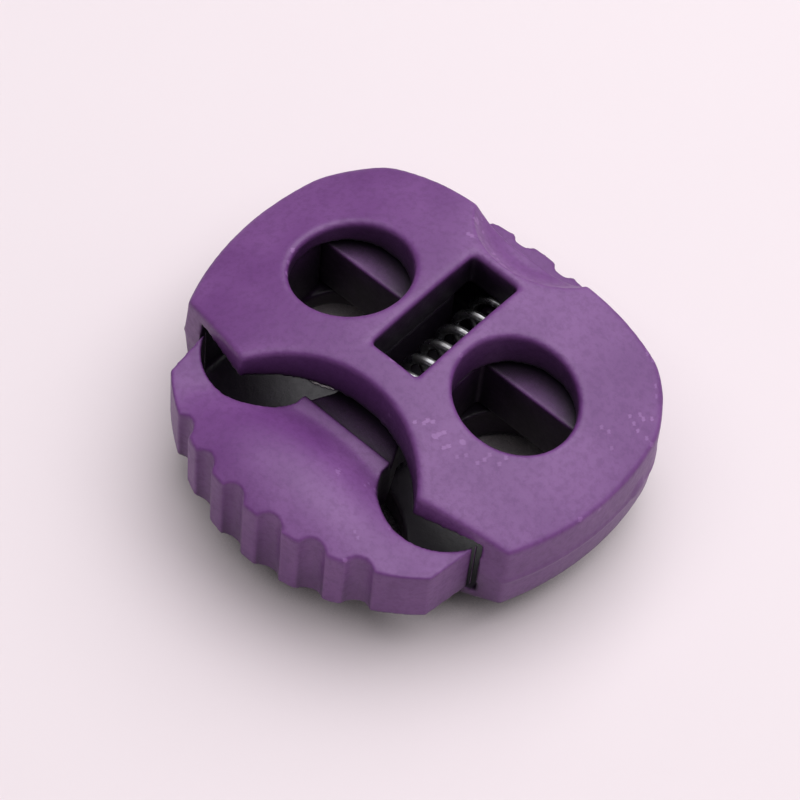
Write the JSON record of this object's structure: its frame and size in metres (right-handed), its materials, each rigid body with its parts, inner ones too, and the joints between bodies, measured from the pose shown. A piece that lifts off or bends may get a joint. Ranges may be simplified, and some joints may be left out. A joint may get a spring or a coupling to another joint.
{
  "type": "cord lock",
  "caption": "Push-button cord lock for two cords: a domed moulded housing with a sprung ribbed button that slides to free the cords.",
  "frame": {"origin": "centre of the lock's overall box, on the housing's mid-plane between its two domed faces", "axes": "+X runs across the two cord holes, +Y points from the button to the closed ribbed end, +Z is the outward normal of the face with the spring window"},
  "size_m": [0.0194, 0.0176, 0.0074],
  "materials": {
    "housing_plastic": "satin, fine texture",
    "button_plastic": "satin, fine texture",
    "spring_steel": "bright drawn wire"
  },
  "bodies": {
    "housing": {"housing": "housing_plastic", "spring": "spring_steel"},
    "button": {"button": "button_plastic"}
  },
  "joints": [
    {"name": "button_press", "type": "slide", "parent": "housing", "child": "button", "axis": [0, 1, 0], "range_m": [0, 0.0015], "stiffness_N_per_m": 2500, "springref_m": -0.0015, "deforming": ["spring"]}
  ]
}
